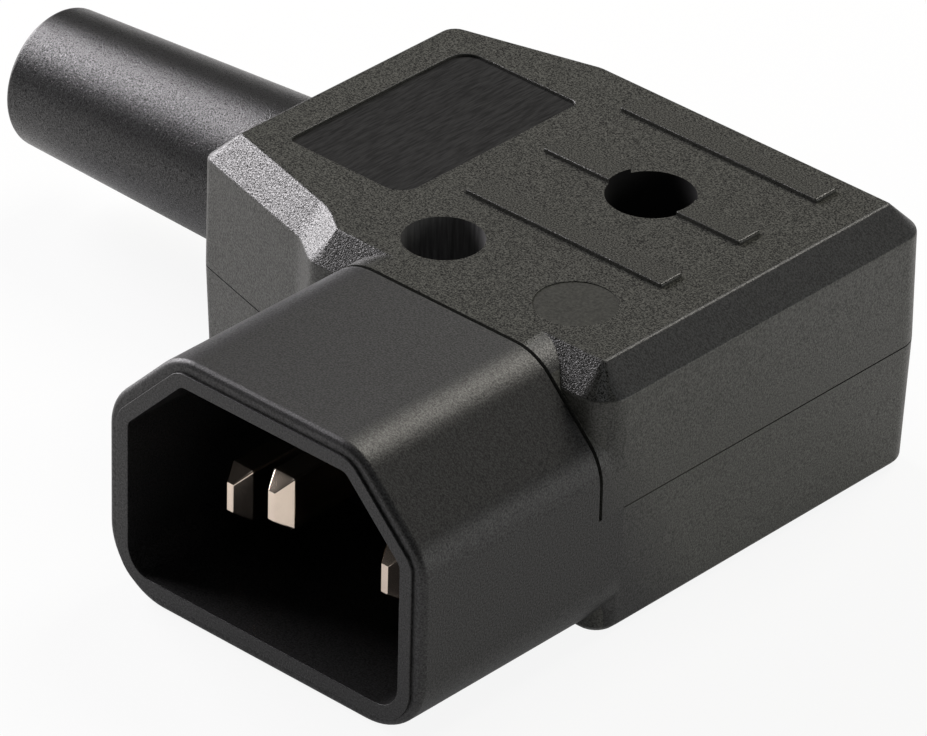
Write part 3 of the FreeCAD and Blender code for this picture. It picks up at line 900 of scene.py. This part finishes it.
class PLUG_OT_contact_pins(bpy.types.Operator):
    """Draws one pin out of a block, copies it to the three places and plates it"""

    bl_idname = "plug.contact_pins"
    bl_label = "Contact pins"

    def execute(self, context):
        plating = brushed_metal("pin_plating", context.scene.plug_finish.contact_colour, 0.1, (1, 0.05, 1))
        first = self.blade(context.scene.plug_shape, *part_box("line_pin"))
        pins = {"line_pin": first}
        for node in ("neutral_pin", "earth_pin"):
            pins[node] = first.copy()
            pins[node].data = first.data.copy()
            pins[node].name = pins[node].data.name = "plated_" + node
            context.scene.collection.objects.link(pins[node])
            self.fit(pins[node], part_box("line_pin"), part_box(node))
        for node, pin in pins.items():
            paint_faces(pin, plating, lambda face: True)
            finish_piece(pin, "contact", node)
        return {"FINISHED"}

    def blade(self, shape, low, high):
        """Rounded blade with a tapered tip at its front end."""
        shoulder = low.y + shape.pin_tip_length
        bpy.ops.object.select_all(action="DESELECT")
        bpy.ops.mesh.primitive_cube_add(size=1, location=(0, 0, 0))
        pin = bpy.context.object
        pin.name = pin.data.name = "plated_line_pin"
        bpy.ops.object.mode_set(mode="EDIT")
        bpy.ops.transform.resize(value=(high.x - low.x, high.y - shoulder, high.z - low.z))
        bpy.ops.transform.translate(
            value=((low.x + high.x) / 2, (shoulder + high.y) / 2, (low.z + high.z) / 2)
        )
        self.pick(pin, self.lengthwise)
        bpy.ops.mesh.bevel(offset=shape.pin_edge_rounding, segments=3, profile=0.5, affect="EDGES")
        self.pick(pin, lambda edge: all(vertex.co.y < shoulder + NEAR for vertex in edge.verts))
        bpy.ops.mesh.extrude_region_move(TRANSFORM_OT_translate={"value": (0, low.y - shoulder, 0)})
        bpy.ops.transform.resize(
            value=(shape.pin_tip_thickness / (high.x - low.x), 1, shape.pin_tip_width / (high.z - low.z))
        )
        self.pick(
            pin,
            lambda edge: not self.lengthwise(edge) and all(end.co.y < high.y - MM for end in edge.verts),
        )
        bpy.ops.mesh.bevel(offset=PIN_TIP_ROUNDING, segments=2, profile=0.5, affect="EDGES")
        bpy.ops.object.mode_set(mode="OBJECT")
        return pin

    def pick(self, pin, wanted):
        """Selects the edges that a test picks out."""
        bpy.ops.mesh.select_mode(type="EDGE")
        bpy.ops.mesh.select_all(action="DESELECT")
        mesh = bmesh.from_edit_mesh(pin.data)
        for edge in mesh.edges:
            edge.select_set(wanted(edge))
        mesh.select_flush_mode()
        bmesh.update_edit_mesh(pin.data)

    def lengthwise(self, edge):
        """True on an edge that runs from front to back."""
        run = edge.verts[0].co - edge.verts[1].co
        return abs(run.y) > 0.5 * run.length

    def fit(self, pin, old, new):
        """Moves a copy to its own place and draws its tail out to its own length."""
        middle = (old[0].y + old[1].y) / 2
        for vertex in pin.data.vertices:
            at_tail = vertex.co.y > middle
            vertex.co += Vector((new[0].x - old[0].x, new[at_tail].y - old[at_tail].y, new[0].z - old[0].z))


class PLUG_OT_terminals(bpy.types.Operator):
    """Gives the terminal blocks bare brass"""

    bl_idname = "plug.terminals"
    bl_label = "Terminal blocks"

    def execute(self, context):
        colour = context.scene.plug_finish.brass_colour
        brass = brushed_metal("bare_brass", colour, 0.3, (1, 0.1, 1))
        for name in ("line_terminal", "neutral_terminal", "earth_terminal"):
            dress_node(name, brass)
        return {"FINISHED"}


class PLUG_OT_screws(bpy.types.Operator):
    """Gives the screws their plated steel"""

    bl_idname = "plug.screws"
    bl_label = "Screws"

    def execute(self, context):
        colour = context.scene.plug_finish.steel_colour
        steel = brushed_metal("plated_steel", colour, 0.3, (1, 1, 0.1))
        for name in frame["nodes"]:
            if "screw" in name:
                dress_node(name, steel)
        return {"FINISHED"}


class PLUG_OT_cable_clamp(bpy.types.Operator):
    """Gives the cable clamp its dull moulded finish"""

    bl_idname = "plug.cable_clamp"
    bl_label = "Cable clamp"

    def execute(self, context):
        dress_node("cable_clamp", moulded_fibre(context.scene.plug_finish))
        return {"FINISHED"}


# Stage


LAMPS = {
    "left_softbox": {
        "azimuth": 273,
        "elevation": 31,
        "distance": 600,
        "size": (400, 260),
        "level": 4.5,
        "tint": (1.0, 0.965, 1.0),
    },
    "left_low_softbox": {
        "azimuth": 270,
        "elevation": 8,
        "distance": 600,
        "size": (440, 200),
        "level": 1.45,
        "tint": (1.0, 0.975, 1.0),
    },
    "back_left_card": {
        "azimuth": 214,
        "elevation": 42,
        "distance": 200,
        "size": (50, 50),
        "level": 0.02,
        "tint": (1.0, 1.0, 0.93),
    },
    "back_softbox": {
        "azimuth": 180,
        "elevation": 52,
        "distance": 600,
        "size": (260, 300),
        "level": 2.3,
        "tint": (1.0, 0.96, 0.88),
    },
    "right_fill": {
        "azimuth": 113,
        "elevation": 10,
        "distance": 600,
        "size": (450, 260),
        "level": 0.85,
        "tint": (1.0, 1.0, 0.97),
    },
    "front_fill": {
        "azimuth": 48,
        "elevation": 55,
        "distance": 600,
        "size": (260, 260),
        "level": 0.14,
        "tint": (0.9, 0.93, 1.0),
    },
}


def direction(azimuth, elevation):
    """Unit vector towards a place round the plug, azimuth 0 in front and 90 on the right."""
    turn = math.radians(azimuth)
    lift = math.radians(elevation)
    return Vector((math.sin(turn) * math.cos(lift), -math.cos(turn) * math.cos(lift), math.sin(lift)))


class PLUG_OT_stage(bpy.types.Operator):
    """Sets the pale floor, the soft lamps and the camera"""

    bl_idname = "plug.stage"
    bl_label = "Stage"

    def execute(self, context):
        settings = context.scene.plug_stage
        self.floor(settings)
        self.sky(context.scene, settings)
        for name, lamp in LAMPS.items():
            self.lamp(context.scene, name, **lamp)
        self.camera(context.scene, settings)
        context.scene.view_settings.view_transform = "Standard"
        return {"FINISHED"}

    def floor(self, settings):
        bpy.ops.object.select_all(action="DESELECT")
        bpy.ops.mesh.primitive_plane_add(size=FLOOR_SIZE, location=(0, 0, BASE_LOW.z - FLOOR_GAP))
        floor = bpy.context.object
        floor.name = "floor"
        bpy.ops.object.transform_apply(location=True, rotation=True, scale=True)
        material = bpy.data.materials.new("pale_floor")
        material.use_nodes = True
        tree = material.node_tree
        shader = tree.nodes["Principled BSDF"]
        shader.inputs["Base Color"].default_value = (*settings.floor_colour, 1)
        shader.inputs["Roughness"].default_value = 0.9
        shader.inputs["Specular IOR Level"].default_value = 0.0
        glow = tree.nodes.new("ShaderNodeEmission")
        seen = self.seen_white(tree, 0.0, settings.floor_glow, settings.mirrored_glow)
        blend = tree.nodes.new("ShaderNodeMixShader")
        tree.links.new(seen, blend.inputs["Fac"])
        tree.links.new(shader.outputs["BSDF"], blend.inputs[1])
        tree.links.new(glow.outputs["Emission"], blend.inputs[2])
        tree.links.new(blend.outputs["Shader"], tree.nodes["Material Output"].inputs["Surface"])
        floor.data.materials.append(material)

    def seen_white(self, tree, level, direct, mirrored):
        """Level that rises where the camera sees the surface itself or mirrored in the plug."""
        path = tree.nodes.new("ShaderNodeLightPath")
        rises = {"Is Camera Ray": direct, "Is Glossy Ray": mirrored, "Is Transmission Ray": mirrored}
        seen = None
        for ray, rise in rises.items():
            share = tree.nodes.new("ShaderNodeMath")
            share.operation = "MULTIPLY_ADD"
            share.inputs[1].default_value = rise
            share.inputs[2].default_value = level
            tree.links.new(path.outputs[ray], share.inputs[0])
            if seen:
                tree.links.new(seen, share.inputs[2])
            seen = share.outputs["Value"]
        return seen

    def sky(self, scene, settings):
        world = bpy.data.worlds.new("studio")
        world.use_nodes = True
        tree = world.node_tree
        backdrop = tree.nodes["Background"]
        backdrop.inputs["Color"].default_value = (1, 1, 1, 1)
        level = settings.sky_level
        seen = self.seen_white(tree, level, 1 - level, settings.mirrored_sky)
        tree.links.new(seen, backdrop.inputs["Strength"])
        scene.world = world

    def lamp(self, scene, name, azimuth, elevation, distance, size, level, tint):
        data = bpy.data.lights.new(name, "AREA")
        data.shape = "RECTANGLE"
        data.size, data.size_y = (side * MM for side in size)
        data.energy = level
        data.color = tint
        lamp = bpy.data.objects.new(name, data)
        towards = direction(azimuth, elevation)
        lamp.location = LAMP_AIM + towards * distance * MM
        lamp.rotation_euler = towards.to_track_quat("Z", "Y").to_euler()
        scene.collection.objects.link(lamp)

    def camera(self, scene, settings):
        data = bpy.data.cameras.new("camera")
        data.sensor_width = PICTURE_WIDTH
        data.lens = settings.camera_lens
        camera = bpy.data.objects.new("camera", data)
        turn = Matrix.Rotation(settings.camera_azimuth, 3, "Z")
        turn = turn @ Matrix.Rotation(math.pi / 2 - settings.camera_elevation, 3, "X")
        turn = turn @ Matrix.Rotation(settings.camera_roll, 3, "Z")
        camera.rotation_euler = turn.to_euler()
        camera.location = Vector(settings.camera_aim) + turn @ Vector((0, 0, settings.camera_distance))
        scene.collection.objects.link(camera)
        scene.camera = camera


# Panel and registration


OPERATORS = (
    PLUG_OT_cover_shell,
    PLUG_OT_base_shell,
    PLUG_OT_strain_relief_boot,
    PLUG_OT_contact_pins,
    PLUG_OT_terminals,
    PLUG_OT_screws,
    PLUG_OT_cable_clamp,
    PLUG_OT_stage,
)


class PLUG_PT_panel(bpy.types.Panel):
    """Lists the steps of the plug"""

    bl_idname = "PLUG_PT_panel"
    bl_label = "Angled power plug"
    bl_space_type = "VIEW_3D"
    bl_region_type = "UI"
    bl_category = "Plug"

    def draw(self, context):
        for operator in OPERATORS:
            self.layout.operator(operator.bl_idname)


CLASSES = (PlugShapeSettings, PlugFinishSettings, PlugStageSettings, *OPERATORS, PLUG_PT_panel)


def register():
    for item in CLASSES:
        bpy.utils.register_class(item)
    bpy.types.Scene.plug_shape = PointerProperty(type=PlugShapeSettings)
    bpy.types.Scene.plug_finish = PointerProperty(type=PlugFinishSettings)
    bpy.types.Scene.plug_stage = PointerProperty(type=PlugStageSettings)


def unregister():
    del bpy.types.Scene.plug_stage
    del bpy.types.Scene.plug_finish
    del bpy.types.Scene.plug_shape
    for item in reversed(CLASSES):
        bpy.utils.unregister_class(item)


def main():
    register()
    bpy.ops.plug.cover_shell()
    bpy.ops.plug.base_shell()
    bpy.ops.plug.strain_relief_boot()
    bpy.ops.plug.contact_pins()
    bpy.ops.plug.terminals()
    bpy.ops.plug.screws()
    bpy.ops.plug.cable_clamp()
    bpy.ops.plug.stage()


if __name__ == "__main__":
    main()
